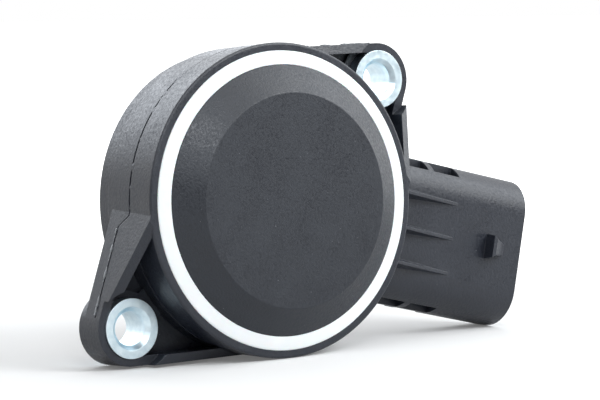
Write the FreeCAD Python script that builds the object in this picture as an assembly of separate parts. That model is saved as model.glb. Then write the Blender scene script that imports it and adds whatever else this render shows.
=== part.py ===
import FreeCAD, Part
import math
import os

# Intake manifold flap sensor: a contactless rotary position sensor in a moulded drum.
# Millimetres and degrees. The sensor axis is Y: the cover faces -Y, the flap shaft comes from +Y.
# Y = 0 is the mounting face. The parts are drawn with the connector along +X and then turned
# about the axis into the attitude in which the sensor stands on a table.

# Drum and spigot
rim_radius = 25.0
rim_rounding = 0.4
drum_depth = 13.05
parting_depth = 6.2
drum_draft = 0.2
parting_groove_width = 0.36
parting_groove_depth = 0.5
spigot_step = 1.1
spigot_length = 4.1
spigot_chamfer = 0.5
relief_width = 0.45
relief_depth = 0.4

# Chambers inside the drum
rim_width = 1.28
cover_seat_depth = 1.65
ledge_width = 2.52
board_chamber_depth = 4.95
partition_wall = 1.5
spigot_wall = 4.1
plate_seat_depth = 5.3
plate_ledge_width = 1.2

# Cover and sealant
lid_height = 3.4
lid_bevel_width = 4.41
lid_foot_height = 0.58
lid_rounding = 0.35
cover_wall = 1.7
cover_flange = 1.0
cover_gap = 0.3
sealant_width = 2.27
sealant_outer_height = 0.12
sealant_crown = 0.08

# Ears
lug_offset = 6.1
lug_radius = 5.95
lug_length = 6.1
lug_angle = 50.0
low_wall_inset = 0.7
gusset_inset = 1.6
ear_wall = 1.5
ear_floor = 1.8
ear_setback = 1.35
low_wall_rise = 1.7
low_wall_lean = 12.0
gusset_start_inset = 3.7
gusset_end_offset = 1.4
gusset_rise = 0.8
spot_face_radius = 6.5
spot_face_depth = 0.3
lug_ring_setback = 2.2
lug_web_width = 5.0
ear_parting_setback = 4.35
ear_groove_width = 0.3
ear_groove_depth = 0.35
jog_setback = 0.6
jog_run = 1.8

# Bushings
bushing_radius = 4.73
bushing_bore_radius = 2.7
bushing_chamfer = 0.75
press_gap = 0.02

# Connector
connector_length = 51.1
connector_width = 24.8
connector_thickness = 10.2
connector_setback = 2.6
connector_corner = 6.0
connector_rear_corner = 2.4
shroud_wall = 1.5
socket_depth = 12.5
root_rib_pitch = 5.8
root_rib_width = 0.5
root_rib_height = 2.1
root_rib_draft = 15.0
root_rib_inset = 1.8
root_rib_length = 11.6
root_rib_sink = 0.5
core_out_upper_wall = 1.7
core_out_lower_wall = 2.9
core_out_rear_wall = 1.5
core_out_reach = 2.6
core_out_depth = 5.2
core_out_offset = 0.4
core_out_length = 12.0
core_out_web = 1.2
nub_lock_distance = 7.6
nub_length = 3.9
nub_width = 4.2
nub_toe_width = 1.9
nub_crest_length = 0.7
nub_crest_width = 3.7
nub_crest_toe_width = 2.7
nub_height = 2.3

# Terminals
terminal_count = 3
terminal_pitch = 5.0
terminal_width = 2.0
terminal_thickness = 0.8
terminal_reach = 7.4
terminal_tip_taper = 0.6
pin_inset = 2.2
pin_width = 0.8
pin_stand_out = 1.0

# Circuit board and what it carries
board_thickness = 1.2
board_gap = 0.5
post_radius = 1.6
stake_radius = 0.75
stake_gap = 0.1
stake_head = 0.5
post_inset = 4.2
post_angles = (60.0, 180.0, 300.0)
solder_radius = 1.2
solder_height = 0.7
chip_length = 8.6
chip_width = 3.9
chip_height = 1.4
chip_leg_count = 7
chip_leg_pitch = 1.27
chip_leg_width = 0.42
chip_leg_reach = 1.05
chip_leg_thickness = 0.25
chip_offset = 10.5
chip_part_length = 2.0
chip_part_width = 1.25
capacitor_height = 0.95
resistor_height = 0.55
capacitor_angles = (125.0, 150.0, 205.0, 230.0)
resistor_angles = (255.0, 275.0, 35.0)
small_part_circle = 13.0

# Rotor
rotor_side_gap = 1.2
rotor_disc_thickness = 2.0
rotor_gap = 0.5
running_clearance = 0.05
pivot_radius = 2.5
pivot_length = 3.0
pivot_end_gap = 0.3
cup_wall = 1.2
hub_radius = 6.5
hub_setback = 0.9
shoulder_radius = 9.6
slot_width = 4.8
slot_length = 10.0
slot_depth = 6.5
slot_rounding = 0.6
turn_range = 95.0
stop_rib_angle = 8.0
stop_rib_place = 180.0
stop_clearance_angle = 1.0
stop_rib_reach = 4.0
stop_rib_root = 1.0
stop_gap = 0.4

# Conductor loop on the rotor
loop_inner_radius = 7.0
loop_outer_radius = 13.2
loop_track = 1.6
loop_thickness = 0.5
loop_lobes = 3
loop_gap = 0.1

# Bearing plate and spring washer
plate_thickness = 2.1
plate_gap = 0.08
collar_radius = 9.0
collar_height = 1.3
plate_rib_count = 6
plate_rib_width = 1.2
plate_rib_height = 0.8
washer_height = 1.0
washer_thickness = 0.35
washer_gap = 0.15
washer_bore_gap = 0.3

# Rear seal
seal_inset = 2.1
seal_groove_width = 1.8
seal_groove_depth = 1.6
seal_width = 1.6
seal_height = 1.72
seal_crown = 0.45

# Levels along the axis
rim_y = -drum_depth
parting_y = rim_y + parting_depth
ledge_y = rim_y + cover_seat_depth
floor_y = rim_y + board_chamber_depth
partition_y = floor_y + partition_wall
spigot_y = spigot_length
plate_front_y = spigot_y - plate_seat_depth
plate_rear_y = plate_front_y + plate_thickness
flange_y = ledge_y - cover_flange
lid_y = rim_y - lid_height
lid_foot_y = rim_y - lid_foot_height
board_rear_y = floor_y - terminal_thickness
board_front_y = board_rear_y - board_thickness
disc_front_y = partition_y + rotor_gap
disc_rear_y = disc_front_y + rotor_disc_thickness
pivot_end_y = disc_front_y - pivot_length
shoulder_y = plate_front_y - washer_height - washer_gap
hub_rear_y = spigot_y - hub_setback
connector_front_y = rim_y + connector_setback
connector_rear_y = connector_front_y + connector_thickness
connector_mid_y = connector_front_y + connector_thickness / 2
lug_front_y = -lug_length
ear_rear_y = -ear_setback
ear_floor_y = ear_rear_y - ear_floor
ear_parting_y = -ear_parting_setback
low_wall_y = lug_front_y - low_wall_rise
gusset_y = lug_front_y - gusset_rise

# Places in the plane of the drum
parting_radius = rim_radius - drum_draft
shoulder_drum_radius = parting_radius - drum_draft
groove_radius = parting_radius - parting_groove_depth
cover_seat_radius = rim_radius - rim_width
board_chamber_radius = cover_seat_radius - ledge_width
lid_foot_radius = cover_seat_radius - sealant_width
lid_flat_radius = lid_foot_radius - lid_bevel_width
spigot_radius = rim_radius - spigot_step
seal_groove_radius = spigot_radius - seal_inset
plate_seat_radius = spigot_radius - spigot_wall
rotor_chamber_radius = plate_seat_radius - plate_ledge_width
rotor_disc_radius = rotor_chamber_radius - rotor_side_gap
lug_distance = rim_radius + lug_offset
low_wall_reach = parting_radius - low_wall_inset
gusset_reach = parting_radius - gusset_inset
gusset_start = rim_radius - gusset_start_inset
gusset_end = lug_distance + gusset_end_offset
root_rib_start = rim_radius - root_rib_inset
root_rib_end = rim_radius + root_rib_length
core_out_start = rim_radius + core_out_offset
core_out_end = core_out_start + core_out_length
half_width = connector_width / 2
cup_radius = pivot_radius + running_clearance + cup_wall
board_radius = board_chamber_radius - board_gap
post_circle_radius = board_radius - post_inset
pin_x = board_radius - pin_inset
step_x = (board_chamber_radius + parting_radius) / 2
socket_floor_x = connector_length - socket_depth
beyond = 4 * rim_radius

ORIGIN = FreeCAD.Vector(0, 0, 0)
AXIS = FreeCAD.Vector(0, 1, 0)
EDGE_TOLERANCE = 0.001


def stand_angle():
    """Turn that sets the lower lug and the connector's lower end corner at one level."""
    lower_lug = math.radians(lug_angle + 180)
    a = lug_distance * math.sin(lower_lug) + half_width
    b = connector_length - lug_distance * math.cos(lower_lug)
    return math.degrees(math.atan2(b, a) - math.acos(lug_radius / math.hypot(a, b)))


def polar(radius, angle, y):
    """Point at a radius and an angle from +X towards +Z."""
    turn = math.radians(angle)
    return FreeCAD.Vector(radius * math.cos(turn), y, radius * math.sin(turn))


def turned(shape, angle):
    """Copy turned about the sensor axis, from +X towards +Z."""
    copy = shape.copy()
    copy.rotate(ORIGIN, AXIS, -angle)
    return copy


def revolved(points):
    """Solid of revolution from a closed outline of (radius, y) points; four numbers end an arc."""
    edges = []
    last = FreeCAD.Vector(*points[0], 0)
    for point in points[1:] + points[:1]:
        end = FreeCAD.Vector(point[0], point[1], 0)
        if len(point) == 4:
            middle = FreeCAD.Vector(point[2], point[3], 0)
            edges.append(Part.Arc(last, middle, end).toShape())
        else:
            edges.append(Part.makeLine(last, end))
        last = end
    return Part.Face(Part.Wire(edges)).revolve(ORIGIN, AXIS, 360)


def rounding(corner, before, after, radius):
    """Start point and arc end that round one corner of a revolved outline."""
    c, p, q = (FreeCAD.Vector(x, y, 0) for x, y in (corner, before, after))
    to_p = (p - c).normalize()
    to_q = (q - c).normalize()
    half = to_p.getAngle(to_q) / 2
    start = c + to_p * (radius / math.tan(half))
    end = c + to_q * (radius / math.tan(half))
    centre = c + (to_p + to_q).normalize() * (radius / math.sin(half))
    middle = centre + (c - centre).normalize() * radius
    return (start.x, start.y), (end.x, end.y, middle.x, middle.y)


def cylinder(radius, y0, y1, place=ORIGIN):
    """Cylinder parallel to the sensor axis."""
    return Part.makeCylinder(radius, y1 - y0, FreeCAD.Vector(place.x, y0, place.z), AXIS)


def box(x0, x1, y0, y1, z0, z1):
    return Part.makeBox(x1 - x0, y1 - y0, z1 - z0, FreeCAD.Vector(x0, y0, z0))


def prism(points, z0, z1):
    """Outline of (x, y) points, extruded from z0 to z1."""
    corners = [FreeCAD.Vector(x, y, z0) for x, y in points]
    face = Part.Face(Part.makePolygon(corners + corners[:1]))
    return face.extrude(FreeCAD.Vector(0, 0, z1 - z0))


def sector(inner, outer, y0, y1, start, end):
    """Piece of a ring between two radii and two angles."""
    middle = (start + end) / 2
    edges = [
        Part.Arc(polar(outer, start, y0), polar(outer, middle, y0), polar(outer, end, y0)).toShape(),
        Part.makeLine(polar(outer, end, y0), polar(inner, end, y0)),
        Part.Arc(polar(inner, end, y0), polar(inner, middle, y0), polar(inner, start, y0)).toShape(),
        Part.makeLine(polar(inner, start, y0), polar(outer, start, y0)),
    ]
    return Part.Face(Part.Wire(edges)).extrude(FreeCAD.Vector(0, y1 - y0, 0))


def rounded_bar(x0, x1, y0, y1, half_z, front_radius, rear_radius):
    """Bar along X whose section is a rectangle with larger corners in front than behind."""
    bar = box(x0, x1, y0, y1, -half_z, half_z)
    for y, radius in ((y0, front_radius), (y1, rear_radius)):
        corners = [e for e in bar.Edges if abs(e.tangentAt(e.FirstParameter).x) > 0.5
                   and abs(e.CenterOfMass.y - y) < EDGE_TOLERANCE]
        bar = bar.makeFillet(radius, corners)
    return bar


def ear_side(reach_radius, end_radius):
    """Angle at which an ear's sides touch the drum's and the lug's circles."""
    return math.degrees(math.acos((reach_radius - end_radius) / lug_distance))


def ear_outline(inset, y0, y1):
    """Plate from the drum to a lug on +X, with sides tangent to the lug and to two circles of the drum."""
    end_radius = lug_radius - inset
    low_wall_side = ear_side(low_wall_reach, lug_radius)
    gusset_side = -ear_side(gusset_reach, lug_radius)
    lug = FreeCAD.Vector(lug_distance, 0, 0)
    drum_top = polar(low_wall_reach - inset, low_wall_side, y0)
    drum_low = polar(gusset_reach - inset, gusset_side, y0)
    lug_top = lug + polar(end_radius, low_wall_side, y0)
    lug_low = lug + polar(end_radius, gusset_side, y0)
    tip = lug + polar(end_radius, 0, y0)
    heart = FreeCAD.Vector(0, y0, 0)
    edges = [
        Part.makeLine(heart, drum_top),
        Part.makeLine(drum_top, lug_top),
        Part.Arc(lug_top, tip, lug_low).toShape(),
        Part.makeLine(lug_low, drum_low),
        Part.makeLine(drum_low, heart),
    ]
    return Part.Face(Part.Wire(edges)).extrude(FreeCAD.Vector(0, y1 - y0, 0))


def lug_places():
    return [polar(lug_distance, lug_angle + half_turn, 0) for half_turn in (0, 180)]


def above_low_wall():
    """Space in front of an ear's low wall, whose front face leans outward."""
    outward = polar(1, ear_side(low_wall_reach, lug_radius), 0)
    along = outward.cross(AXIS)
    run = 2 * ear_wall
    fall = run * math.tan(math.radians(low_wall_lean))
    start = outward * low_wall_reach - along * beyond
    section = [(-run, low_wall_y - fall), (run, low_wall_y + fall), (run, -beyond), (-run, -beyond)]
    corners = [start + outward * out + AXIS * y for out, y in section]
    return Part.Face(Part.makePolygon(corners + corners[:1])).extrude(along * 2 * beyond)


def ear_groove(reach, sign):
    """Parting groove on one outer wall of an ear, with the jog that joins it to the drum's groove."""
    outward = polar(1, sign * ear_side(reach, lug_radius), 0)
    along = AXIS.cross(outward) * sign
    half = ear_groove_width / 2
    drum_groove_y = parting_y + parting_groove_width / 2
    jog_start = math.sqrt(parting_radius ** 2 - reach ** 2) + jog_setback
    wall_end = math.sqrt(lug_distance ** 2 - (reach - lug_radius) ** 2)
    line = [(0, drum_groove_y), (jog_start, drum_groove_y),
            (jog_start + jog_run, ear_parting_y), (wall_end, ear_parting_y)]
    section = [(a, y - half) for a, y in line] + [(a, y + half) for a, y in reversed(line)]
    start = outward * (reach + ear_groove_depth)
    corners = [start + along * a + AXIS * y for a, y in section]
    return Part.Face(Part.makePolygon(corners + corners[:1])).extrude(outward * -2 * ear_groove_depth)


def ear():
    """Pocketed ear on +X: a floor, one low wall, one gusset wall and the lug."""
    lug_place = FreeCAD.Vector(lug_distance, 0, 0)
    ring_y = lug_front_y + lug_ring_setback
    plate = ear_outline(0, rim_y, ear_rear_y)
    pocket = ear_outline(ear_wall, rim_y, ear_floor_y)
    above_gusset = prism(
        [(gusset_start, rim_y), (gusset_end, gusset_y), (beyond, gusset_y),
         (beyond, -beyond), (gusset_start, -beyond)], -beyond, 0)
    spot_face = cylinder(spot_face_radius, -beyond, lug_front_y + spot_face_depth, lug_place)
    grooves = [ear_groove(low_wall_reach, 1), ear_groove(gusset_reach, -1)]
    walls = plate.cut([pocket, above_low_wall(), above_gusset, spot_face] + grooves)
    lug = cylinder(lug_radius, ring_y, 0, lug_place)
    web = box(rim_radius - ear_wall, lug_distance, ring_y, ear_rear_y, -lug_web_width / 2, lug_web_width / 2)
    return walls.fuse([lug, web])


def drum():
    """Outside of the drum and spigot, still solid."""
    rim_start, rim_end = rounding((rim_radius, rim_y), (0, rim_y), (rim_radius, parting_y), rim_rounding)
    return revolved([
        (0, rim_y), rim_start, rim_end,
        (parting_radius, parting_y), (groove_radius, parting_y),
        (groove_radius, parting_y + parting_groove_width), (parting_radius, parting_y + parting_groove_width),
        (shoulder_drum_radius, 0), (spigot_radius - relief_depth, 0),
        (spigot_radius - relief_depth, relief_width), (spigot_radius, relief_width),
        (spigot_radius, spigot_y - spigot_chamfer), (spigot_radius - spigot_chamfer, spigot_y),
        (0, spigot_y),
    ])


def connector():
    """Connector outside: rounded bar with root ribs and lock nub, still solid."""
    bar = rounded_bar(rotor_chamber_radius, connector_length, connector_front_y, connector_rear_y,
                      half_width, connector_corner, connector_rear_corner)
    ribs = [root_rib(step * root_rib_pitch) for step in (-1, 0, 1)]
    return bar.fuse(ribs + [lock_nub()])


def root_rib(middle_z):
    """Rib that falls from the rim to the connector's face, with drafted sides and its foot in the bar."""
    slope = root_rib_height / (root_rib_end - rim_radius)
    foot_y = connector_front_y + root_rib_sink
    crest = root_rib_width / 2
    sections = []
    for x in (root_rib_start, root_rib_end + root_rib_sink):
        height = root_rib_sink + slope * (root_rib_end - x)
        foot = crest + height * math.tan(math.radians(root_rib_draft))
        outline = [(foot_y - height, -crest), (foot_y - height, crest), (foot_y, foot), (foot_y, -foot)]
        corners = [FreeCAD.Vector(x, y, middle_z + z) for y, z in outline]
        sections.append(Part.makePolygon(corners + corners[:1]))
    return Part.makeLoft(sections, True, True)


def lock_nub():
    """Ramp that the plug's latch snaps over, with its steep face towards the drum."""
    lock_x = connector_length - nub_lock_distance

    def outline(length, width, toe_width, y):
        corners = [FreeCAD.Vector(lock_x, y, -width / 2), FreeCAD.Vector(lock_x + length, y, -toe_width / 2),
                   FreeCAD.Vector(lock_x + length, y, toe_width / 2), FreeCAD.Vector(lock_x, y, width / 2)]
        return Part.makePolygon(corners + corners[:1])

    base = outline(nub_length, nub_width, nub_toe_width, connector_front_y)
    crest = outline(nub_crest_length, nub_crest_width, nub_crest_toe_width, connector_front_y - nub_height)
    return Part.makeLoft([base, crest], True, True)


def core_outs():
    """Pockets in two rows that thin the connector's root from its two narrow sides."""
    bay = (core_out_end - core_out_start - core_out_web) / 2
    pockets = []
    for side, front_wall in ((1, core_out_upper_wall), (-1, core_out_lower_wall)):
        z0, z1 = sorted((side * (half_width - core_out_depth), side * (half_width + core_out_web)))
        front_row_y = connector_front_y + front_wall
        rear_row_y = front_row_y + core_out_reach + core_out_web
        for start in (core_out_start, core_out_start + bay + core_out_web):
            pockets.append(box(start, start + bay, front_row_y, front_row_y + core_out_reach, z0, z1))
            pockets.append(box(start, start + bay, rear_row_y, connector_rear_y - core_out_rear_wall, z0, z1))
    return pockets


def socket():
    """Hollow of the connector that takes the plug."""
    return rounded_bar(socket_floor_x, connector_length + socket_depth, connector_front_y + shroud_wall,
                       connector_rear_y - shroud_wall, half_width - shroud_wall,
                       connector_corner - shroud_wall, connector_rear_corner - shroud_wall)


def front_chamber():
    """Recess for cover and sealant, and the board chamber around the pivot cup."""
    cup_y = pivot_end_y - pivot_end_gap - cup_wall
    return revolved([
        (0, rim_y), (cover_seat_radius, rim_y), (cover_seat_radius, ledge_y),
        (board_chamber_radius, ledge_y), (board_chamber_radius, floor_y),
        (cup_radius, floor_y), (cup_radius, cup_y), (0, cup_y),
    ])


def rear_chamber():
    """Rotor chamber with the pivot's blind bore and the seat of the bearing plate."""
    bore_radius = pivot_radius + running_clearance
    bore_y = pivot_end_y - pivot_end_gap
    return revolved([
        (0, bore_y), (bore_radius, bore_y), (bore_radius, partition_y),
        (rotor_chamber_radius, partition_y), (rotor_chamber_radius, plate_front_y),
        (plate_seat_radius, plate_front_y), (plate_seat_radius, spigot_y), (0, spigot_y),
    ])


def seal_groove():
    inner = seal_groove_radius - seal_groove_width / 2
    outer = seal_groove_radius + seal_groove_width / 2
    groove_y = spigot_y - seal_groove_depth
    return revolved([(inner, groove_y), (outer, groove_y), (outer, spigot_y), (inner, spigot_y)])


def stop_rib():
    """Rib in the rotor chamber that stops the rotor at both ends of its turn."""
    inner = rotor_chamber_radius - stop_rib_reach
    outer = rotor_chamber_radius + stop_rib_root
    return sector(inner, outer, partition_y, disc_rear_y,
                  stop_rib_place - stop_rib_angle / 2, stop_rib_place + stop_rib_angle / 2)


def board_posts():
    """Posts that carry the board, each with a heat stake through it."""
    posts = []
    for angle in post_angles:
        place = polar(post_circle_radius, angle, 0)
        posts.append(cylinder(post_radius, board_rear_y, floor_y, place))
        posts.append(cylinder(stake_radius, board_front_y - stake_head, floor_y, place))
    return posts


def housing(terminals):
    """The one moulding: drum, ears, connector and chambers, moulded around the terminals."""
    body = drum().fuse([turned(ear(), lug_angle), turned(ear(), lug_angle + 180), connector()])
    holes = [cylinder(bushing_radius + press_gap, lug_front_y, 0, place) for place in lug_places()]
    body = body.cut(core_outs() + [socket(), front_chamber(), rear_chamber(), seal_groove()] + holes)
    body = body.fuse([stop_rib()] + board_posts())
    return body.cut(terminals)


def front_cover():
    """Raised disc with a bevelled edge and a flange under the sealant."""
    flat, foot = (lid_flat_radius, lid_y), (lid_foot_radius, lid_foot_y)
    edge_start, edge_end = rounding(flat, (0, lid_y), foot, lid_rounding)
    slope = (lid_foot_y - lid_y) / (lid_foot_radius - lid_flat_radius)
    inner_y = lid_y + cover_wall
    inner_flat = lid_flat_radius - cover_wall * math.tan(math.atan(slope) / 2)
    inner_foot = lid_foot_radius - cover_wall
    inner_foot_y = inner_y + slope * (inner_foot - inner_flat)
    flange_radius = cover_seat_radius - cover_gap
    return revolved([
        (0, lid_y), edge_start, edge_end, foot, (lid_foot_radius, flange_y), (flange_radius, flange_y),
        (flange_radius, ledge_y), (inner_foot, ledge_y), (inner_foot, inner_foot_y),
        (inner_flat, inner_y), (0, inner_y),
    ])


def sealant_ring():
    """White bead between the cover and the rim, slightly crowned."""
    outer_y = rim_y - sealant_outer_height
    middle = ((lid_foot_radius + cover_seat_radius) / 2, (lid_foot_y + outer_y) / 2 - sealant_crown)
    return revolved([
        (lid_foot_radius, flange_y), (lid_foot_radius, lid_foot_y), (cover_seat_radius, outer_y, *middle),
        (cover_seat_radius, flange_y),
    ])


def bushing(place):
    """Steel sleeve in a lug, chamfered at the mouth that the screw enters."""
    mouth = bushing_bore_radius + bushing_chamfer
    sleeve = revolved([
        (bushing_bore_radius, lug_front_y + bushing_chamfer), (mouth, lug_front_y),
        (bushing_radius, lug_front_y), (bushing_radius, 0), (bushing_bore_radius, 0),
    ])
    sleeve.translate(place)
    return sleeve


def terminal_places():
    first = -terminal_pitch * (terminal_count - 1) / 2
    return [first + terminal_pitch * number for number in range(terminal_count)]


def terminal(z):
    """Stamped blade: straight in the socket, stepped in the drum's wall, then through the board."""
    half = terminal_thickness / 2
    z0, z1 = z - terminal_width / 2, z + terminal_width / 2
    run_y = floor_y - half
    tip_x = socket_floor_x + terminal_reach
    blade = prism(
        [(step_x - half, connector_mid_y - half), (tip_x - terminal_tip_taper, connector_mid_y - half),
         (tip_x, connector_mid_y - half / 2), (tip_x, connector_mid_y + half / 2),
         (tip_x - terminal_tip_taper, connector_mid_y + half), (step_x - half, connector_mid_y + half)],
        z0, z1)
    rise = box(step_x - half, step_x + half, run_y - half, connector_mid_y + half, z0, z1)
    run = box(pin_x - half, step_x + half, run_y - half, run_y + half, z0, z1)
    pin = box(pin_x - half, pin_x + half, board_front_y - pin_stand_out, run_y + half,
              z - pin_width / 2, z + pin_width / 2)
    return blade.fuse([rise, run, pin]).removeSplitter()


def pin_hole_radius():
    return math.hypot(terminal_thickness, pin_width) / 2 + stake_gap


def circuit_board():
    board = cylinder(board_radius, board_front_y, board_rear_y)
    holes = [cylinder(cup_radius + board_gap, board_front_y, board_rear_y)]
    for angle in post_angles:
        holes.append(cylinder(stake_radius + stake_gap, board_front_y, board_rear_y,
                              polar(post_circle_radius, angle, 0)))
    for z in terminal_places():
        holes.append(cylinder(pin_hole_radius(), board_front_y, board_rear_y, FreeCAD.Vector(pin_x, 0, z)))
    return board.cut(holes)


def solder_joints(terminals):
    """Cone of solder round each pin, on the front of the board."""
    cones = []
    for z in terminal_places():
        base = FreeCAD.Vector(pin_x, board_front_y, z)
        cones.append(Part.makeCone(solder_radius, solder_radius / 2, solder_height, base, -AXIS))
    return [cone.cut(terminals) for cone in cones]


def on_board(length, width, height, place):
    """Block that lies on the front of the board, long side along Z."""
    return box(place.x - width / 2, place.x + width / 2, board_front_y - height, board_front_y,
               place.z - length / 2, place.z + length / 2)


def sensor_chip():
    """Chip package with a row of legs along both long sides."""
    place = FreeCAD.Vector(0, 0, chip_offset)
    package = box(-chip_length / 2, chip_length / 2, board_front_y - chip_height,
                  board_front_y - chip_leg_thickness, place.z - chip_width / 2, place.z + chip_width / 2)
    legs = []
    first = -chip_leg_pitch * (chip_leg_count - 1) / 2
    for number in range(chip_leg_count):
        middle = first + chip_leg_pitch * number
        legs.append(box(middle - chip_leg_width / 2, middle + chip_leg_width / 2,
                        board_front_y - 2 * chip_leg_thickness, board_front_y,
                        place.z - chip_width / 2 - chip_leg_reach, place.z + chip_width / 2 + chip_leg_reach))
    return package.fuse(legs)


def small_parts(angles, height):
    """Chip capacitors or resistors, set round the board."""
    flat = on_board(chip_part_length, chip_part_width, height, polar(small_part_circle, 0, 0))
    return [turned(flat, angle) for angle in angles]


def rotor(socket_angle):
    """Disc with a pivot in front and a hub behind, which the flap shaft turns by the slot."""
    body = revolved([
        (0, pivot_end_y), (pivot_radius, pivot_end_y), (pivot_radius, disc_front_y),
        (rotor_disc_radius, disc_front_y), (rotor_disc_radius, disc_rear_y),
        (shoulder_radius, disc_rear_y), (shoulder_radius, shoulder_y),
        (hub_radius, shoulder_y), (hub_radius, hub_rear_y), (0, hub_rear_y),
    ])
    clear = stop_rib_angle / 2 + stop_clearance_angle
    notch = sector(rotor_chamber_radius - stop_rib_reach - stop_gap, rotor_chamber_radius,
                   disc_front_y, disc_rear_y, stop_rib_place - clear, stop_rib_place + clear + turn_range)
    slot = box(-slot_length / 2, slot_length / 2, hub_rear_y - slot_depth, hub_rear_y,
               -slot_width / 2, slot_width / 2)
    slot_corners = [e for e in slot.Edges if abs(e.tangentAt(e.FirstParameter).y) > 0.5]
    slot = slot.makeFillet(slot_rounding, slot_corners)
    recess = cylinder(loop_outer_radius + loop_gap, disc_front_y, disc_front_y + loop_thickness)
    recess = recess.cut(cylinder(loop_inner_radius - loop_gap, disc_front_y, disc_front_y + loop_thickness))
    return body.cut([notch, turned(slot, socket_angle), recess])


def rotor_loop():
    """Stamped loop with lobes, which the board's coils sense through the partition."""
    plate = cylinder(loop_outer_radius, disc_front_y, disc_front_y + loop_thickness)
    windows = [cylinder(loop_inner_radius, disc_front_y, disc_front_y + loop_thickness)]
    lobe = 360 / loop_lobes
    for number in range(loop_lobes):
        windows.append(sector(loop_inner_radius + loop_track, loop_outer_radius - loop_track, disc_front_y,
                              disc_front_y + loop_thickness, number * lobe, (number + 0.5) * lobe))
    return plate.cut(windows)


def bearing_plate():
    """Plate with the rotor's bearing collar and stiffening ribs on its rear."""
    bore = hub_radius + running_clearance
    outer = plate_seat_radius - plate_gap
    plate = revolved([
        (bore, plate_front_y), (outer, plate_front_y), (outer, plate_rear_y), (collar_radius, plate_rear_y),
        (collar_radius, plate_rear_y + collar_height), (bore, plate_rear_y + collar_height),
    ])
    rib = box((bore + collar_radius) / 2, outer - plate_rib_width,
              plate_rear_y, plate_rear_y + plate_rib_height, -plate_rib_width / 2, plate_rib_width / 2)
    step = 360 / plate_rib_count
    return plate.fuse([turned(rib, number * step) for number in range(plate_rib_count)]).removeSplitter()


def spring_washer():
    """Cone washer on the bearing plate that takes up the rotor's end play."""
    inner = hub_radius + washer_bore_gap
    top_y = plate_front_y - washer_height
    return revolved([
        (inner, plate_front_y), (inner, plate_front_y - washer_thickness),
        (shoulder_radius, top_y), (shoulder_radius, top_y + washer_thickness),
    ])


def rear_seal():
    """Moulded rubber ring with flat sides and a crowned lip."""
    groove_y = spigot_y - seal_groove_depth
    lip_y = groove_y + seal_height
    inner = seal_groove_radius - seal_width / 2
    outer = seal_groove_radius + seal_width / 2
    return revolved([
        (inner, groove_y), (outer, groove_y), (outer, lip_y - seal_crown),
        (inner, lip_y - seal_crown, seal_groove_radius, lip_y),
    ])


def nodes(stand):
    """Every piece by name, still with the connector along +X."""
    terminals = [terminal(z) for z in terminal_places()]
    upper, lower = lug_places()
    pieces = {
        "housing": housing(terminals),
        "front_cover": front_cover(),
        "sealant_ring": sealant_ring(),
        "upper_bushing": bushing(upper),
        "lower_bushing": bushing(lower),
        "circuit_board": circuit_board(),
        "sensor_chip": sensor_chip(),
        "capacitors": Part.makeCompound(small_parts(capacitor_angles, capacitor_height)),
        "resistors": Part.makeCompound(small_parts(resistor_angles, resistor_height)),
        "solder_joints": Part.makeCompound(solder_joints(terminals)),
        "rotor": rotor(90 + stand),
        "rotor_loop": rotor_loop(),
        "bearing_plate": bearing_plate(),
        "spring_washer": spring_washer(),
        "rear_seal": rear_seal(),
    }
    for number, shape in enumerate(terminals, start=1):
        pieces[f"terminal_{number}"] = shape
    return pieces


os.makedirs("parts", exist_ok=True)
stand = stand_angle()
print(f"stand angle {stand:.2f}")
for name, shape in nodes(stand).items():
    standing = turned(shape, -stand)
    solids = standing.Solids
    print(f"{name}: {len(solids)} solids, {standing.Volume:.1f} mm3, valid {standing.isValid()}")
    standing.exportStep(f"parts/{name}.step")
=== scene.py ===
# %% [markdown]
# # Intake manifold flap sensor
# A car engine's intake manifold has flaps that turn to guide the air. This small sensor sits on the end
# of the flap shaft and tells the engine how far the flaps have turned.
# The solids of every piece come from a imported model, which is loaded first and never changed. The lesson
# then adds what a solid doesn't have: a poured sealant bead, mould flash, finishes and studio light.

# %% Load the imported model
import math

import bpy
from mathutils import Matrix, Vector


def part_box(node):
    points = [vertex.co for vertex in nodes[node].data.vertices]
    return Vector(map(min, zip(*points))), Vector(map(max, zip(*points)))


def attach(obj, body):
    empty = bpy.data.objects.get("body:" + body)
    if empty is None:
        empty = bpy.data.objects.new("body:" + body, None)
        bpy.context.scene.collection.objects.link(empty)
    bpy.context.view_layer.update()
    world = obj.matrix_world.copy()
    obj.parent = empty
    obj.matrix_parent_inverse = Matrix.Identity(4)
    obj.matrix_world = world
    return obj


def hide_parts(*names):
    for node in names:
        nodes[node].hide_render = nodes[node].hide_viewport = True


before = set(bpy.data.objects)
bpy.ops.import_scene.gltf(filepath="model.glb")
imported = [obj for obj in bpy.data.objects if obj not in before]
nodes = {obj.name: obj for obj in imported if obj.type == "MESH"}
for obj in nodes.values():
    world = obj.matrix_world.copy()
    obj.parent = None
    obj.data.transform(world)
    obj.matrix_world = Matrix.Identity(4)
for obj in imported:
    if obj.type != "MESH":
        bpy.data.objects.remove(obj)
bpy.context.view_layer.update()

mm = 0.001

# %% [markdown]
# ## Camera
# The picture is taken from the front left, a little above the table, with a long lens, so that the round
# cover shows as a slightly narrow ellipse. A camera can be turned with angles, but a small roll is hard
# to set that way. Here its three axes are worked out as vectors and written into its matrix.

# %% Camera
view_azimuth = math.radians(35.23)
view_fall = math.radians(2.34)
view_roll = math.radians(-2.92)
view_distance = 472.9 * mm
view_target = Vector((3.08, -13.05, -0.13)) * mm
lens_length = 178.9

forward = Vector((math.sin(view_azimuth) * math.cos(view_fall),
                  math.cos(view_azimuth) * math.cos(view_fall), -math.sin(view_fall)))
level_right = forward.cross(Vector((0, 0, 1))).normalized()
level_up = level_right.cross(forward)
camera_right = level_right * math.cos(view_roll) + level_up * math.sin(view_roll)
camera_up = camera_right.cross(forward)

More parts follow.
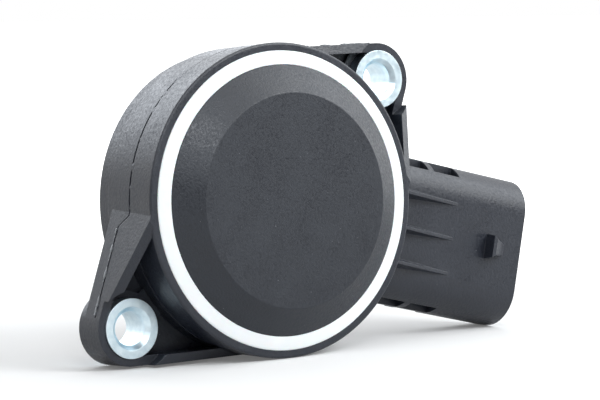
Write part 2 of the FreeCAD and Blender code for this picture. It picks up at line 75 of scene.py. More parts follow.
camera = bpy.data.objects.new("camera", bpy.data.cameras.new("camera"))
camera.data.lens = lens_length
turn = Matrix((camera_right, camera_up, -forward)).transposed().to_4x4()
camera.matrix_world = Matrix.Translation(view_target - forward * view_distance) @ turn
bpy.context.scene.collection.objects.link(camera)
bpy.context.scene.camera = camera
print("camera at", [round(v / mm, 1) for v in camera.matrix_world.translation])

# %% [markdown]
# ## Table top
# A free-standing sensor leans back until three points touch the table: the front edge of the rim, the
# rear of the lower lug and the lower corner of the connector. The model keeps its own upright frame, so
# the white table top leans by those few degrees instead. Its plane goes through the three lowest points,
# each found in its own part of the housing.

# %% Table top plane
rim_band = 0.5 * mm
lug_side_x = -20 * mm
lug_rear_y = -0.01 * mm
plug_side_x = 40 * mm


def lowest_point(mesh, keep):
    """Lowest vertex of a mesh among those that a test keeps."""
    return min((v.co.copy() for v in mesh.vertices if keep(v.co)), key=lambda co: co.z)


housing_mesh = nodes["housing"].data
housing_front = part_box("housing")[0].y
rim_touch = lowest_point(housing_mesh, lambda co: co.y < housing_front + rim_band)
lug_touch = lowest_point(housing_mesh, lambda co: co.x < lug_side_x and co.y > lug_rear_y)
plug_touch = lowest_point(housing_mesh, lambda co: co.x > plug_side_x)
table_normal = (plug_touch - rim_touch).cross(lug_touch - rim_touch).normalized()
print("touches", [[round(v / mm, 2) for v in p] for p in (rim_touch, lug_touch, plug_touch)])
print("table leans", round(math.degrees(table_normal.angle(Vector((0, 0, 1)))), 2), "degrees")

# %% [markdown]
# ## Table and cards
# The photograph is a plain product shot on a white table that fades into a white room. A pale sheet alone
# turns grey in the distance, where less lamp light lands on it. So the sheet glows fully away from the
# sensor, only for rays from the camera or off shiny surfaces. Close by it is an ordinary pale surface that
# keeps the shadow, but a faint glow stays there as well and lightens that shadow with painted light.
# Black plastic is seen mostly by what it mirrors. A photographer shapes it with cards: a black one behind
# the camera, and a dark grey one at the front right, where the flat faces mirror the room. Only shiny
# surfaces see these cards.

# %% Helpers for shaders
noise_low, noise_high = 0.3, 0.7


def new_material(name):
    """Node material with its tree and its principled shader."""
    material = bpy.data.materials.new(name)
    material.use_nodes = True
    tree = material.node_tree
    return material, tree, tree.nodes["Principled BSDF"]


def math_node(tree, operation, first, second):
    """Math node; each operand is an output socket or a plain number."""
    node = tree.nodes.new("ShaderNodeMath")
    node.operation = operation
    for socket, operand in zip(node.inputs, (first, second)):
        if isinstance(operand, (int, float)):
            socket.default_value = operand
        else:
            tree.links.new(operand, socket)
    return node.outputs[0]


def between(tree, value, low, high, start=noise_low, end=noise_high):
    """Maps a value from one range, by default that of a noise, to another, held at the ends."""
    node = tree.nodes.new("ShaderNodeMapRange")
    for label, number in (("From Min", start), ("From Max", end), ("To Min", low), ("To Max", high)):
        node.inputs[label].default_value = number
    tree.links.new(value, node.inputs["Value"])
    return node.outputs["Result"]


def seen_directly(tree, shiny_share=1.0):
    """1 for rays from the camera, a share of it for rays off shiny or clear surfaces, else 0."""
    rays = tree.nodes.new("ShaderNodeLightPath").outputs
    shiny = math_node(tree, "MAXIMUM", rays["Is Glossy Ray"], rays["Is Transmission Ray"])
    shiny = math_node(tree, "MULTIPLY", shiny, shiny_share)
    return math_node(tree, "MAXIMUM", rays["Is Camera Ray"], shiny)


# %% White table
table_size = 3.0
table_gap = 0.02 * mm
table_paleness = 0.78
table_shine = 0.1
matt_roughness = 0.9
# near_glow is painted light that lightens the table's shadow next to the sensor
near_glow, full_glow = 0.13, 1.0
glow_start, glow_end = 0.075, 0.22
mirrored_glow = 0.62


def square_sheet(name, centre, normal, size):
    """Square sheet about a centre, facing along its normal."""
    side = normal.orthogonal().normalized()
    across = normal.cross(side)
    spots = ((-1, -1), (1, -1), (1, 1), (-1, 1))
    mesh = bpy.data.meshes.new(name)
    mesh.from_pydata([centre + (side * a + across * b) * size / 2 for a, b in spots], [], [(0, 1, 2, 3)])
    sheet = bpy.data.objects.new(name, mesh)
    bpy.context.scene.collection.objects.link(sheet)
    return sheet


def glowing_white():
    """White finish that glows away from the origin, for rays from the camera or off shiny surfaces."""
    material, tree, shader = new_material("white_table")
    shader.inputs["Base Color"].default_value = (table_paleness, table_paleness, table_paleness, 1)
    shader.inputs["Roughness"].default_value = matt_roughness
    shader.inputs["Specular IOR Level"].default_value = table_shine
    shader.inputs["Emission Color"].default_value = (1, 1, 1, 1)
    distance = tree.nodes.new("ShaderNodeVectorMath")
    distance.operation = "LENGTH"
    tree.links.new(tree.nodes.new("ShaderNodeTexCoord").outputs["Object"], distance.inputs[0])
    far = between(tree, distance.outputs["Value"], near_glow, full_glow, glow_start, glow_end)
    glow = math_node(tree, "MULTIPLY", far, seen_directly(tree, mirrored_glow))
    tree.links.new(glow, shader.inputs["Emission Strength"])
    return material


table = square_sheet("table", rim_touch - table_normal * table_gap, table_normal, table_size)
table.data.materials.append(glowing_white())
print("table is", table_size, "m wide and glows fully", glow_end, "m from the sensor")

# %% Cards
card_size = 0.46
camera_card_distance = 0.65
camera_card_paleness = 0.02
right_card_place = Vector((0.38, -0.56, -0.04))
right_card_paleness = 0.08


def room_card(name, place, paleness):
    """Card that only shiny surfaces see; it faces the sensor."""
    card = square_sheet(name, place, (view_target - place).normalized(), card_size)
    finish, _, shader = new_material(name)
    shader.inputs["Base Color"].default_value = (paleness, paleness, paleness, 1)
    shader.inputs["Roughness"].default_value = matt_roughness
    card.data.materials.append(finish)
    for sight in ("visible_camera", "visible_shadow", "visible_diffuse"):
        setattr(card, sight, False)
    return card


camera_card = room_card("camera_card", view_target - forward * camera_card_distance, camera_card_paleness)
right_card = room_card("right_card", right_card_place, right_card_paleness)
print("two cards of", card_size, "m are in place")

# %% [markdown]
# ## Lamps
# Four soft lights do the work. A big one overhead whitens the table and the top of the drum, one at the
# front right and a weaker one at the front left light the cover and the sealant ring, and one at the right
# puts the pale band on the cover's bevel.
# Four more only give shine: two behind draw the bright band along the drum, and two at the front shape the
# bevel. They are kept out of diffuse light, because a real studio screens them off the table, and the
# shadows of the rear ones would fall towards the camera.
# Each lamp has a place, a width and height in metres, and a power in watts.

# %% Lamps
lamp_aim = Vector((10 * mm, -5 * mm, 0))
soft_tint = (0.95, 0.98, 1.0)
shine_tint = (0.86, 0.92, 1.0)
soft_lamps = {
    "overhead_light": ((0.26, 0.08, 0.50), (0.90, 0.60), 2.40),
    "front_light": ((0.360, -0.481, 0.378), (0.35, 0.35), 3.20),
    "left_light": ((-0.224, -0.473, 0.390), (0.25, 0.25), 0.90),
    "right_light": ((0.62, -0.05, 0.14), (0.40, 0.40), 0.90),
}
shine_lamps = {
    "rear_light": ((-0.09, 0.45, 0.32), (0.52, 0.30), 1.70),
    "low_rear_light": ((0.30, 0.445, 0.13), (0.25, 0.20), 0.40),
    "left_gloss": ((-0.250, -0.473, 0.3705), (0.25, 0.25), 1.10),
    "right_gloss": ((0.5235, -0.135, 0.3705), (0.25, 0.25), 0.50),
}


def softbox(name, place, size, power, colour):
    """Rectangular area lamp that points at the sensor."""
    lamp = bpy.data.objects.new(name, bpy.data.lights.new(name, "AREA"))
    lamp.data.shape = "RECTANGLE"
    lamp.data.size, lamp.data.size_y = size
    lamp.data.energy = power
    lamp.data.color = colour
    lamp.location = place
    lamp.rotation_euler = (lamp_aim - Vector(place)).to_track_quat("-Z", "Y").to_euler()
    bpy.context.scene.collection.objects.link(lamp)
    return lamp


for name, (place, size, power) in soft_lamps.items():
    softbox(name, place, size, power, soft_tint)
for name, (place, size, power) in shine_lamps.items():
    softbox(name, place, size, power, shine_tint).visible_diffuse = False
print(len(soft_lamps), "soft lamps and", len(shine_lamps), "for shine only")

# %% White room
room_light = 0.38
world = bpy.data.worlds.new("white_room")
bpy.context.scene.world = world
world.use_nodes = True
tree = world.node_tree
room = tree.nodes["Background"]
room.inputs["Color"].default_value = (1, 1, 1, 1)
tree.links.new(between(tree, seen_directly(tree), room_light, 1.0, 0.0, 1.0), room.inputs["Strength"])
bpy.context.scene.view_settings.view_transform = "Standard"
print("the room looks white and lights with a strength of", room_light)

# %% [markdown]
# ## Finishes
# Every finish reads Object coordinates, so its grain has a real size in millimetres and stays put when a
# piece turns. Small helpers do the common work: a noise of a given grain size, a blend of two colours, a
# relief, and a mask along edges. The mask compares the true normal with the one of a Bevel node, which
# rounds edges in shading only: where the two differ there is an edge, and edges wear first.

# %% Helpers for finishes
edge_likeness, flat_likeness = 0.80, 0.98


def grain(tree, size, detail):
    """Noise whose spots are about that size, in metres."""
    noise = tree.nodes.new("ShaderNodeTexNoise")
    noise.inputs["Scale"].default_value = 1 / size
    noise.inputs["Detail"].default_value = detail
    tree.links.new(tree.nodes.new("ShaderNodeTexCoord").outputs["Object"], noise.inputs["Vector"])
    return noise.outputs["Fac"]


def tint(tree, value, dark, pale):
    """Blends two colours by a noise."""
    ramp = tree.nodes.new("ShaderNodeValToRGB")
    ends = (noise_low, noise_high)
    for element, position, colour in zip(ramp.color_ramp.elements, ends, (dark, pale)):
        element.position = position
        element.color = (*colour, 1)
    tree.links.new(value, ramp.inputs["Fac"])
    return ramp.outputs["Color"]


def over(tree, below, value, colour):
    """Lays a plain colour over another by a mask."""
    mix = tree.nodes.new("ShaderNodeMix")
    mix.data_type = "RGBA"
    colour_sockets = [socket for socket in mix.inputs if socket.type == "RGBA"]
    tree.links.new(value, mix.inputs["Factor"])
    tree.links.new(below, colour_sockets[0])
    colour_sockets[1].default_value = (*colour, 1)
    return next(socket for socket in mix.outputs if socket.type == "RGBA")


def relief(tree, shader, height, depth, strength, below):
    """Bump of a given depth in metres on a coarser normal; the shader takes the last one made."""
    bump = tree.nodes.new("ShaderNodeBump")
    bump.inputs["Distance"].default_value = depth
    bump.inputs["Strength"].default_value = strength
    tree.links.new(height, bump.inputs["Height"])
    tree.links.new(below, bump.inputs["Normal"])
    tree.links.new(bump.outputs["Normal"], shader.inputs["Normal"])
    return bump.outputs["Normal"]


def soft_edges(tree, radius):
    """Normal that is rounded at edges, and a mask that is 1 along them."""
    bevel = tree.nodes.new("ShaderNodeBevel")
    bevel.inputs["Radius"].default_value = radius
    likeness = tree.nodes.new("ShaderNodeVectorMath")
    likeness.operation = "DOT_PRODUCT"
    tree.links.new(bevel.outputs["Normal"], likeness.inputs[0])
    tree.links.new(tree.nodes.new("ShaderNodeNewGeometry").outputs["Normal"], likeness.inputs[1])
    mask = between(tree, likeness.outputs["Value"], 1.0, 0.0, edge_likeness, flat_likeness)
    return bevel.outputs["Normal"], mask


# %% [markdown]
# ## Black moulding
# Housing and cover are glass-filled plastic. Close up, the skin is charcoal with a blue cast, with a
# spark-eroded grain that glints, cloudy patches where the glass fibres come near the surface, pale specks
# where a fibre ends in it, and edges that handling has rubbed paler. Clouds of some millimetres steer
# colour and gloss, and the grain of some tenths of a millimetre makes the relief.

# %% Recipe of the moulding
cloud_size, cloud_detail = 5.0 * mm, 4.0
cloud_share = 0.4
grain_detail = 3.0
speck_size, speck_detail = 0.45 * mm, 1.0
speck_start, speck_end, speck_cover = 0.77, 0.85, 0.5
speck_colour = (0.20, 0.21, 0.23)
rub_least, rub_most, rub_lift = 0.1, 0.6, 2.2
cloud_swing, grain_swing = 0.04, 0.12
wave_depth, wave_strength = 0.012 * mm, 0.3
moulded_edge = 0.16 * mm


def moulded_plastic(name, dark, pale, roughness, grain_size, grain_depth, edge=moulded_edge):
    """Dark moulding with clouds, grain, specks and rubbed edges."""
    material, tree, shader = new_material(name)
    clouds = grain(tree, cloud_size, cloud_detail)
    fine = grain(tree, grain_size, grain_detail)
    specks = grain(tree, speck_size, speck_detail)
    rounded, edges = soft_edges(tree, edge)
    rubbed = math_node(tree, "MULTIPLY", edges, between(tree, clouds, rub_least, rub_most))
    cloud_part = math_node(tree, "MULTIPLY", clouds, cloud_share)
    grain_part = math_node(tree, "MULTIPLY", fine, 1 - cloud_share)
    colour = tint(tree, math_node(tree, "ADD", cloud_part, grain_part), dark, pale)
    speckled = between(tree, specks, 0.0, speck_cover, speck_start, speck_end)
    colour = over(tree, colour, speckled, speck_colour)
    colour = over(tree, colour, rubbed, tuple(rub_lift * part for part in pale))
    tree.links.new(colour, shader.inputs["Base Color"])
    mottle = math_node(tree, "ADD", between(tree, clouds, roughness - cloud_swing, roughness + cloud_swing),
                       between(tree, fine, -grain_swing, grain_swing))
    tree.links.new(mottle, shader.inputs["Roughness"])
    waves = relief(tree, shader, clouds, wave_depth, wave_strength, rounded)
    relief(tree, shader, fine, grain_depth, 1.0, waves)
    return material


# %% Moulded finishes
housing_look = {
    "dark": (0.008, 0.010, 0.017), "pale": (0.017, 0.021, 0.031), "roughness": 0.42,
    "grain_size": 0.42 * mm, "grain_depth": 0.050 * mm,
}
housing_plastic = moulded_plastic("housing_plastic", **housing_look)
cover_plastic = moulded_plastic(
    "cover_plastic", dark=(0.007, 0.009, 0.015), pale=(0.014, 0.018, 0.026), roughness=0.46,
    grain_size=0.36 * mm, grain_depth=0.044 * mm)
plate_plastic = moulded_plastic(
    "plate_plastic", dark=(0.030, 0.030, 0.033), pale=(0.042, 0.042, 0.046), roughness=0.45,
    grain_size=0.25 * mm, grain_depth=0.014 * mm)
chip_epoxy = moulded_plastic(
    "chip_epoxy", dark=(0.018, 0.018, 0.019), pale=(0.028, 0.028, 0.029), roughness=0.60,
    grain_size=0.10 * mm, grain_depth=0.006 * mm, edge=0.05 * mm)
resistor_glaze = moulded_plastic(
    "resistor_glaze", dark=(0.030, 0.030, 0.036), pale=(0.045, 0.045, 0.052), roughness=0.30,
    grain_size=0.20 * mm, grain_depth=0.004 * mm, edge=0.04 * mm)
print("moulded finishes ready")

# %% [markdown]
# ## Turned zinc
# The two bushings are steel sleeves, turned on a lathe and zinc plated, so they are bright with a blue
# cast. A lathe leaves rings on the end face and a fine thread of marks down the bore. Two Wave textures
# draw both: rings around the sleeve's own axis, for which a Mapping node moves the pattern to its middle,
# and bands along that axis. On the face the bands stay level, and in the bore the rings do, so the two can
# simply be added. A Wave texture has some 20 / 2 pi waves to a metre at a scale of 1.

# %% Turned zinc
waves_at_scale_one = 20 / (2 * math.pi)
mark_wobble, mark_detail = 1.2, 2.0
mark_depth, mark_strength = 0.006 * mm, 0.35
face_period, bore_period = 0.30 * mm, 0.34 * mm
zinc_blotch, zinc_detail = 0.9 * mm, 4.0
zinc_dark, zinc_pale, zinc_edge = (0.66, 0.80, 0.87), (0.80, 0.92, 0.97), (0.90, 0.96, 0.98)
zinc_smooth, zinc_rough = 0.30, 0.40
pit_depth, pit_strength = 0.004 * mm, 0.20
zinc_rounding = 0.12 * mm


def waves_of(tree, kind, period, place):
    """Wave texture around or along the Y axis, with a period in metres."""
    wave = tree.nodes.new("ShaderNodeTexWave")
    wave.wave_type = kind
    wave.rings_direction = "Y"
    wave.bands_direction = "Y"
    wave.inputs["Scale"].default_value = 1 / (waves_at_scale_one * period)
    wave.inputs["Distortion"].default_value = mark_wobble
    wave.inputs["Detail"].default_value = mark_detail
    tree.links.new(place, wave.inputs["Vector"])
    return wave.outputs["Fac"]


def turned_zinc(node_name):
    """Zinc plating whose turning marks are centred on one bushing."""
    material, tree, shader = new_material(node_name + "_zinc")
    near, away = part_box(node_name)
    middle = (near + away) / 2
    mapping = tree.nodes.new("ShaderNodeMapping")
    mapping.inputs["Location"].default_value = (-middle.x, 0, -middle.z)
    tree.links.new(tree.nodes.new("ShaderNodeTexCoord").outputs["Object"], mapping.inputs["Vector"])
    place = mapping.outputs["Vector"]
    rings = waves_of(tree, "RINGS", face_period, place)
    bands = waves_of(tree, "BANDS", bore_period, place)
    blotches = grain(tree, zinc_blotch, zinc_detail)
    rounded, edges = soft_edges(tree, zinc_rounding)
    colour = tint(tree, blotches, zinc_dark, zinc_pale)
    tree.links.new(over(tree, colour, edges, zinc_edge), shader.inputs["Base Color"])
    tree.links.new(between(tree, blotches, zinc_smooth, zinc_rough), shader.inputs["Roughness"])
    shader.inputs["Metallic"].default_value = 1.0
    pits = relief(tree, shader, blotches, pit_depth, pit_strength, rounded)
    relief(tree, shader, math_node(tree, "ADD", rings, bands), mark_depth, mark_strength, pits)
    return material


upper_zinc = turned_zinc("upper_bushing")
lower_zinc = turned_zinc("lower_bushing")
print("zinc ready for two bushings")

# %% [markdown]
# ## Other finishes
# Terminals are tinned brass, the loop on the rotor bare copper, the rotor natural acetal, the seal
# red-brown silicone. These and the other finishes share two recipes: a metal with fine scratches, and a
# soft skin with clouds and a little light under it, which also suits sealant, ceramic and solder resist.

# %% Recipes of metal and soft skin
metal_cloud, skin_cloud, soft_cloud_detail = 1.5 * mm, 3.0 * mm, 3.0
metal_swing, skin_swing = 0.06, 0.05
scratch_detail, skin_detail = 4.0, 2.0
fine_strength = 0.4
metal_edge, skin_edge = 0.08 * mm, 0.10 * mm
light_under_skin, light_reach = 0.15, 0.8 * mm


def metal(name, dark, pale, roughness, scratch_size, scratch_depth):
    """Metal with clouds and fine scratches."""
    material, tree, shader = new_material(name)
    shader.inputs["Metallic"].default_value = 1.0
    clouds = grain(tree, metal_cloud, soft_cloud_detail)
    tree.links.new(tint(tree, clouds, dark, pale), shader.inputs["Base Color"])
    rough = between(tree, clouds, roughness - metal_swing, roughness + metal_swing)
    tree.links.new(rough, shader.inputs["Roughness"])
    scratches = grain(tree, scratch_size, scratch_detail)
    relief(tree, shader, scratches, scratch_depth, fine_strength, soft_edges(tree, metal_edge)[0])
    return material


def soft_skin(name, dark, pale, roughness, grain_size, grain_depth):
    """Soft skin with clouds, fine grain and a little light under it."""
    material, tree, shader = new_material(name)
    shader.inputs["Subsurface Weight"].default_value = light_under_skin
    shader.inputs["Subsurface Scale"].default_value = light_reach
    clouds = grain(tree, skin_cloud, soft_cloud_detail)
    tree.links.new(tint(tree, clouds, dark, pale), shader.inputs["Base Color"])
    rough = between(tree, clouds, roughness - skin_swing, roughness + skin_swing)
    tree.links.new(rough, shader.inputs["Roughness"])
    fine = grain(tree, grain_size, skin_detail)
    relief(tree, shader, fine, grain_depth, fine_strength, soft_edges(tree, skin_edge)[0])
    return material


# %% Metals, rubber and board
tinned_brass = metal(
    "tinned_brass", dark=(0.70, 0.67, 0.58), pale=(0.82, 0.79, 0.70), roughness=0.30,
    scratch_size=0.15 * mm, scratch_depth=0.003 * mm)
copper = metal(
    "copper_loop", dark=(0.70, 0.42, 0.26), pale=(0.82, 0.52, 0.34), roughness=0.32,
    scratch_size=0.20 * mm, scratch_depth=0.003 * mm)
spring_steel = metal(
    "spring_steel", dark=(0.42, 0.43, 0.45), pale=(0.55, 0.56, 0.58), roughness=0.30,
    scratch_size=0.20 * mm, scratch_depth=0.003 * mm)
solder_tin = metal(
    "solder_tin", dark=(0.66, 0.67, 0.69), pale=(0.80, 0.81, 0.82), roughness=0.22,
    scratch_size=0.30 * mm, scratch_depth=0.006 * mm)
sealant = soft_skin(
    "white_sealant", dark=(0.88, 0.90, 0.91), pale=(0.91, 0.93, 0.94), roughness=0.42,
    grain_size=0.60 * mm, grain_depth=0.010 * mm)
acetal = soft_skin(
    "natural_acetal", dark=(0.58, 0.54, 0.44), pale=(0.66, 0.62, 0.52), roughness=0.40,
    grain_size=0.25 * mm, grain_depth=0.006 * mm)
ceramic = soft_skin(
    "tan_ceramic", dark=(0.48, 0.38, 0.27), pale=(0.58, 0.47, 0.35), roughness=0.55,
    grain_size=0.08 * mm, grain_depth=0.004 * mm)
silicone = soft_skin(
    "silicone_seal", dark=(0.42, 0.12, 0.06), pale=(0.52, 0.17, 0.09), roughness=0.50,
    grain_size=0.20 * mm, grain_depth=0.006 * mm)
solder_resist = soft_skin(
    "green_resist", dark=(0.03, 0.17, 0.09), pale=(0.05, 0.24, 0.13), roughness=0.30,
    grain_size=0.40 * mm, grain_depth=0.008 * mm)
print("metals, rubber and board finishes ready")

# %% Give every piece its finish
finishes = {
    "housing": housing_plastic, "front_cover": cover_plastic, "sealant_ring": sealant,
    "upper_bushing": upper_zinc, "lower_bushing": lower_zinc,
    "terminal_1": tinned_brass, "terminal_2": tinned_brass, "terminal_3": tinned_brass,
    "circuit_board": solder_resist, "sensor_chip": chip_epoxy, "capacitors": ceramic,
    "resistors": resistor_glaze, "solder_joints": solder_tin,
    "rotor": acetal, "rotor_loop": copper, "bearing_plate": plate_plastic,
    "spring_washer": spring_steel, "rear_seal": silicone,
}
for name, material in finishes.items():
    nodes[name].data.materials.clear()
    nodes[name].data.materials.append(material)
print("finished", len(finishes), "pieces")

# %% [markdown]
# ## Growing pieces with Geometry Nodes
# Two things on the sensor follow a path: the white sealant bead, which a nozzle lays around the cover, and
# the flash, the thin skin of plastic that creeps into the joint between the mould halves. Sweeping a
# profile along a curve makes both. The helpers build a node tree with named inputs, set those inputs on a
# modifier by their identifiers, and keep the result as a plain mesh.

# %% Helpers for node trees
class Tree:
    """Geometry node tree with named inputs, built one node at a time."""

    def __init__(self, name, numbers, path=False):
        self.group = bpy.data.node_groups.new(name, "GeometryNodeTree")
        sockets = self.group.interface
        sockets.new_socket("Geometry", in_out="OUTPUT", socket_type="NodeSocketGeometry")
        if path:
            sockets.new_socket("Path", in_out="INPUT", socket_type="NodeSocketGeometry")
        for label in numbers:
            sockets.new_socket(label, in_out="INPUT", socket_type="NodeSocketFloat")
        self.given = self.group.nodes.new("NodeGroupInput").outputs
        self.result = self.group.nodes.new("NodeGroupOutput").inputs["Geometry"]

    def node(self, kind, settings=None, **values):
        """New node; settings are its properties, values its inputs, with _ for a space in a name."""
        node = self.group.nodes.new(kind)
        for label, setting in (settings or {}).items():
            setattr(node, label, setting)
        for label, value in values.items():
            self.feed(node.inputs[label.replace("_", " ")], value)
        return node.outputs

    def feed(self, socket, value):
        """Gives an input socket a plain value or a link."""
        if isinstance(value, bpy.types.NodeSocket):
            self.group.links.new(value, socket)
        else:
            socket.default_value = value

    def math(self, operation, first, second, kind="ShaderNodeMath"):
        """Math or vector math node on two sockets or plain values."""
        node = self.group.nodes.new(kind)
        node.operation = operation
        self.feed(node.inputs[0], first)
        self.feed(node.inputs[1], second)
        return node.outputs[0]

    def finish(self, mesh, material, smooth=True):
        """Ends the tree in realized geometry with a material, smooth or with flat faces."""
        shaded = self.node("GeometryNodeSetShadeSmooth", Geometry=mesh, Shade_Smooth=smooth)
        real = self.node("GeometryNodeRealizeInstances", Geometry=shaded["Geometry"])
        dressed = self.node("GeometryNodeSetMaterial", Geometry=real["Geometry"], Material=material)
        self.group.links.new(dressed["Geometry"], self.result)


def grow(name, tree, numbers, path=None):
    """Object whose mesh is what a tree makes with these inputs, as a plain mesh."""
    piece = bpy.data.objects.new(name, path or bpy.data.meshes.new(name))
    bpy.context.scene.collection.objects.link(piece)
    modifier = piece.modifiers.new("shape", "NODES")
    modifier.node_group = tree.group
    for item in tree.group.interface.items_tree:
        if item.in_out == "INPUT" and item.name in numbers:
            modifier[item.identifier] = numbers[item.name]
    evaluated = piece.evaluated_get(bpy.context.evaluated_depsgraph_get())
    mesh = bpy.data.meshes.new_from_object(evaluated)
    piece.modifiers.clear()
    piece.data = mesh
    mesh.name = name
    print(name, "has", len(mesh.polygons), "faces")
    return piece


# %% [markdown]
# ## Sealant bead
# The bead fills the groove between cover and rim. It was poured, so its face leans from the cover down to
# the rim, is slightly crowned and isn't quite even. The profile is a rectangle with filleted corners. On
# it, one Set Position adds the lean and the crown, and after the sweep a second one lets a slow noise push
# the skin in and out by some hundredths of a millimetre.

# %% Profile of the bead
profile_points = 56
corner_steps = 4
bead_tree = Tree("sealant_bead", ("Ring Radius", "Bead Width", "Bead Height", "Corner", "Lean", "Crown",
                                  "Front", "Unevenness", "Seed"))
given = bead_tree.given
block = bead_tree.node("GeometryNodeCurvePrimitiveQuadrilateral", Width=given["Bead Width"],
                       Height=given["Bead Height"])
filleted = bead_tree.node("GeometryNodeFilletCurve", {"mode": "POLY"}, Curve=block["Curve"],
                          Count=corner_steps, Radius=given["Corner"], Limit_Radius=True)
profile = bead_tree.node("GeometryNodeResampleCurve", Curve=filleted["Curve"], Count=profile_points)
spot = bead_tree.node("GeometryNodeInputPosition")["Position"]
across = bead_tree.node("ShaderNodeSeparateXYZ", Vector=spot)
share = bead_tree.math("DIVIDE", across["X"], bead_tree.math("MULTIPLY", given["Bead Width"], 0.5))
fall = bead_tree.math("MULTIPLY", share, bead_tree.math("MULTIPLY", given["Lean"], -0.5))
hump = bead_tree.math("MULTIPLY", given["Crown"],
                      bead_tree.math("SUBTRACT", 1.0, bead_tree.math("MULTIPLY", share, share)))
lift = bead_tree.node("ShaderNodeCombineXYZ", Y=bead_tree.math("ADD", fall, hump))
leaning = bead_tree.node("GeometryNodeSetPosition", Geometry=profile["Curve"], Offset=lift["Vector"])
print("profile of the bead has", profile_points, "points")

# %% Sweep of the bead
ring_steps = 288
bead_noise_scale, bead_noise_detail = 260.0, 2.0
face_forwards = (-math.pi / 2, 0, 0)
ring = bead_tree.node("GeometryNodeCurvePrimitiveCircle", Resolution=ring_steps, Radius=given["Ring Radius"])
upright = bead_tree.node("GeometryNodeSetCurveNormal", {"mode": "Z_UP"}, Curve=ring["Curve"])
swept = bead_tree.node("GeometryNodeCurveToMesh", Curve=upright["Curve"], Profile_Curve=leaning["Geometry"])
noise = bead_tree.node("ShaderNodeTexNoise", {"noise_dimensions": "4D"}, W=given["Seed"],
                       Scale=bead_noise_scale, Detail=bead_noise_detail)
swing = bead_tree.math("MULTIPLY", bead_tree.math("SUBTRACT", noise["Fac"], 0.5), given["Unevenness"])
push = bead_tree.node("ShaderNodeVectorMath", {"operation": "SCALE"}, Scale=swing,
                      Vector=bead_tree.node("GeometryNodeInputNormal")["Normal"])
uneven = bead_tree.node("GeometryNodeSetPosition", Geometry=swept["Mesh"], Offset=push["Vector"])
forward_shift = bead_tree.node("ShaderNodeCombineXYZ", Y=given["Front"])
placed = bead_tree.node("GeometryNodeTransform", Geometry=uneven["Geometry"], Rotation=face_forwards,
                        Translation=forward_shift["Vector"])
bead_tree.finish(placed["Geometry"], sealant)
print("the bead is swept in", ring_steps, "steps")

# %% Sealant bead
near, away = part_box("sealant_ring")
groove_radius = (away.x - near.x) / 2
bead_width = 2.25 * mm
bead_lean = 0.46 * mm
bead_crown = 0.05 * mm
bead_height = away.y - near.y - bead_lean - bead_crown
bead = grow("sealant_bead", bead_tree, {
    "Ring Radius": groove_radius - bead_width / 2, "Bead Width": bead_width, "Bead Height": bead_height,
    "Corner": 0.12 * mm, "Lean": bead_lean, "Crown": bead_crown, "Front": (near.y + away.y) / 2,
    "Unevenness": 0.09 * mm, "Seed": 3.0})
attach(bead, "body")
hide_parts("sealant_ring")

# %% [markdown]
# ## Mould flash
# Where the mould halves meet, the moulding has a fine line. On the drum it is a circle that flash fills
# here and there, and towards the top all along, so that the line is broken and fades out. On the ears'
# outer walls it is straight, and bits of flash stand out of it. Their pale colour is a painted highlight
# that stands for the glints where they catch the light. These paths go into a mesh of loose edges. The
# tree turns them into curves, jitters them, and sweeps a tiny flat ribbon whose scale follows a noise, so
# that the flash comes and goes.
# Angles run from +X towards +Z, in degrees. A side of -1 or 1 tells the two walls of an ear apart.

# %% Paths of the flash
stand_angle = 13.87
drum_radius = 24.665 * mm
drum_line_y = -6.67 * mm
drum_arcs = ((79.0, 179.5), (259.0, 317.0))
arc_steps = 60
ear_line_y = -4.18 * mm
ear_line_lift = 0.05 * mm
ear_angles = (50.0 - stand_angle, 230.0 - stand_angle)
wall_reach = {-1: 23.2 * mm, 1: 24.1 * mm}
wall_turn = {-1: -56.31, 1: 54.29}
wall_stretch = {-1: (11.4 * mm, 25.4 * mm), 1: (8.6 * mm, 25.0 * mm)}


def around(radius, angle, y):
    """Point at a radius and an angle from +X towards +Z."""
    return Vector((radius * math.cos(math.radians(angle)), y, radius * math.sin(math.radians(angle))))


def drum_line(start, end):
    """Points of an arc around the drum."""
    angles = (start + (end - start) * step / arc_steps for step in range(arc_steps + 1))
    return [around(drum_radius, angle, drum_line_y) for angle in angles]


def wall_line(ear_angle, side):
    """Both ends of the line on one wall of an ear."""
    wall_angle = ear_angle + wall_turn[side]
    foot = around(wall_reach[side] + ear_line_lift, wall_angle, ear_line_y)
    to_lug = around(1.0, wall_angle - 90 * side, 0)
    return [foot + to_lug * stretch for stretch in wall_stretch[side]]


def edge_mesh(name, lines):
    """Mesh of loose edges, one chain for each line of points."""
    points, edges = [], []
    for line in lines:
        edges += [(len(points) + i, len(points) + i + 1) for i in range(len(line) - 1)]
        points += line
    mesh = bpy.data.meshes.new(name)
    mesh.from_pydata(points, edges, [])
    return mesh


drum_lines = [drum_line(start, end) for start, end in drum_arcs]
wall_lines = [wall_line(ear_angle, side) for ear_angle in ear_angles for side in wall_reach]
print(len(drum_lines), "lines on the drum,", len(wall_lines), "on the ears")

# %% Tree of the flash
shake_scale, shake_detail = 1400.0, 1.0
break_scale, break_detail = 420.0, 3.0
break_sharpness = 16.0
least_swell = 0.10
closing_length = 1.5 * mm


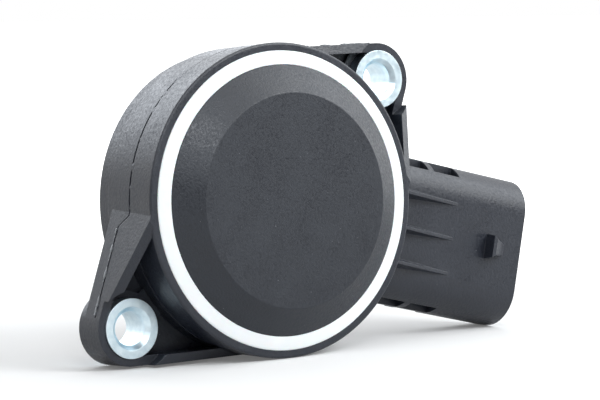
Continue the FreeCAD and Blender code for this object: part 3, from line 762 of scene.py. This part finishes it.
def flash_tree(name, material):
    """Tree that sweeps a flat ribbon of changing size along a mesh of edges."""
    tree = Tree(name, ("Width", "Thickness", "Step", "Jitter", "Gap Share", "Full Above", "Seed"), path=True)
    given = tree.given
    curve = tree.node("GeometryNodeMeshToCurve", Mesh=given["Path"])
    even = tree.node("GeometryNodeResampleCurve", {"mode": "LENGTH"}, Curve=curve["Curve"],
                     Length=given["Step"])
    seeded = {"noise_dimensions": "4D"}
    shake = tree.node("ShaderNodeTexNoise", seeded, W=given["Seed"], Scale=shake_scale, Detail=shake_detail)
    centred = tree.math("SUBTRACT", shake["Color"], (0.5, 0.5, 0.5), "ShaderNodeVectorMath")
    offset = tree.node("ShaderNodeVectorMath", {"operation": "SCALE"}, Vector=centred, Scale=given["Jitter"])
    shaken = tree.node("GeometryNodeSetPosition", Geometry=even["Curve"], Offset=offset["Vector"])
    breaks = tree.node("ShaderNodeTexNoise", seeded, W=given["Seed"], Scale=break_scale, Detail=break_detail)
    rise = tree.math("MULTIPLY", tree.math("SUBTRACT", breaks["Fac"], given["Gap Share"]), break_sharpness)
    spot = tree.node("ShaderNodeSeparateXYZ", Vector=tree.node("GeometryNodeInputPosition")["Position"])
    closed = tree.math("DIVIDE", tree.math("SUBTRACT", spot["Z"], given["Full Above"]), closing_length)
    swell = tree.math("MAXIMUM", tree.math("MAXIMUM", rise, closed), least_swell)
    swell = tree.math("MINIMUM", swell, 1.0)
    ribbon = tree.node("GeometryNodeCurvePrimitiveQuadrilateral", Width=given["Width"],
                       Height=given["Thickness"])
    swept = tree.node("GeometryNodeCurveToMesh", Curve=shaken["Geometry"], Profile_Curve=ribbon["Curve"],
                      Scale=swell, Fill_Caps=True)
    tree.finish(swept["Mesh"], material, smooth=False)
    return tree


# %% Flash on the drum and on the ears
flash_edge = 0.01 * mm
above_all = 1.0
drum_skin = moulded_plastic("drum_skin", **housing_look, edge=flash_edge)
# painted highlight: the ear flash gets a pale colour that stands for its glints, not a colour of the black
# plastic
flash_with_painted_glint = moulded_plastic(
    "flash_with_painted_glint", dark=(0.12, 0.13, 0.14), pale=(0.42, 0.44, 0.47), roughness=0.38,
    grain_size=0.30 * mm, grain_depth=0.010 * mm, edge=flash_edge)
drum_flash = grow("drum_flash", flash_tree("drum_flash", drum_skin), {
    "Width": 0.70 * mm, "Thickness": 0.30 * mm, "Step": 0.18 * mm, "Jitter": 0.01 * mm, "Gap Share": 0.49,
    "Full Above": 18.6 * mm, "Seed": 5.0},
    edge_mesh("drum_path", drum_lines))
ear_flash = grow("ear_flash", flash_tree("ear_flash", flash_with_painted_glint), {
    "Width": 0.26 * mm, "Thickness": 0.26 * mm, "Step": 0.18 * mm, "Jitter": 0.24 * mm, "Gap Share": 0.42,
    "Full Above": above_all, "Seed": 8.0},
    edge_mesh("ear_path", wall_lines))
for flash in (drum_flash, ear_flash):
    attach(flash, "body")
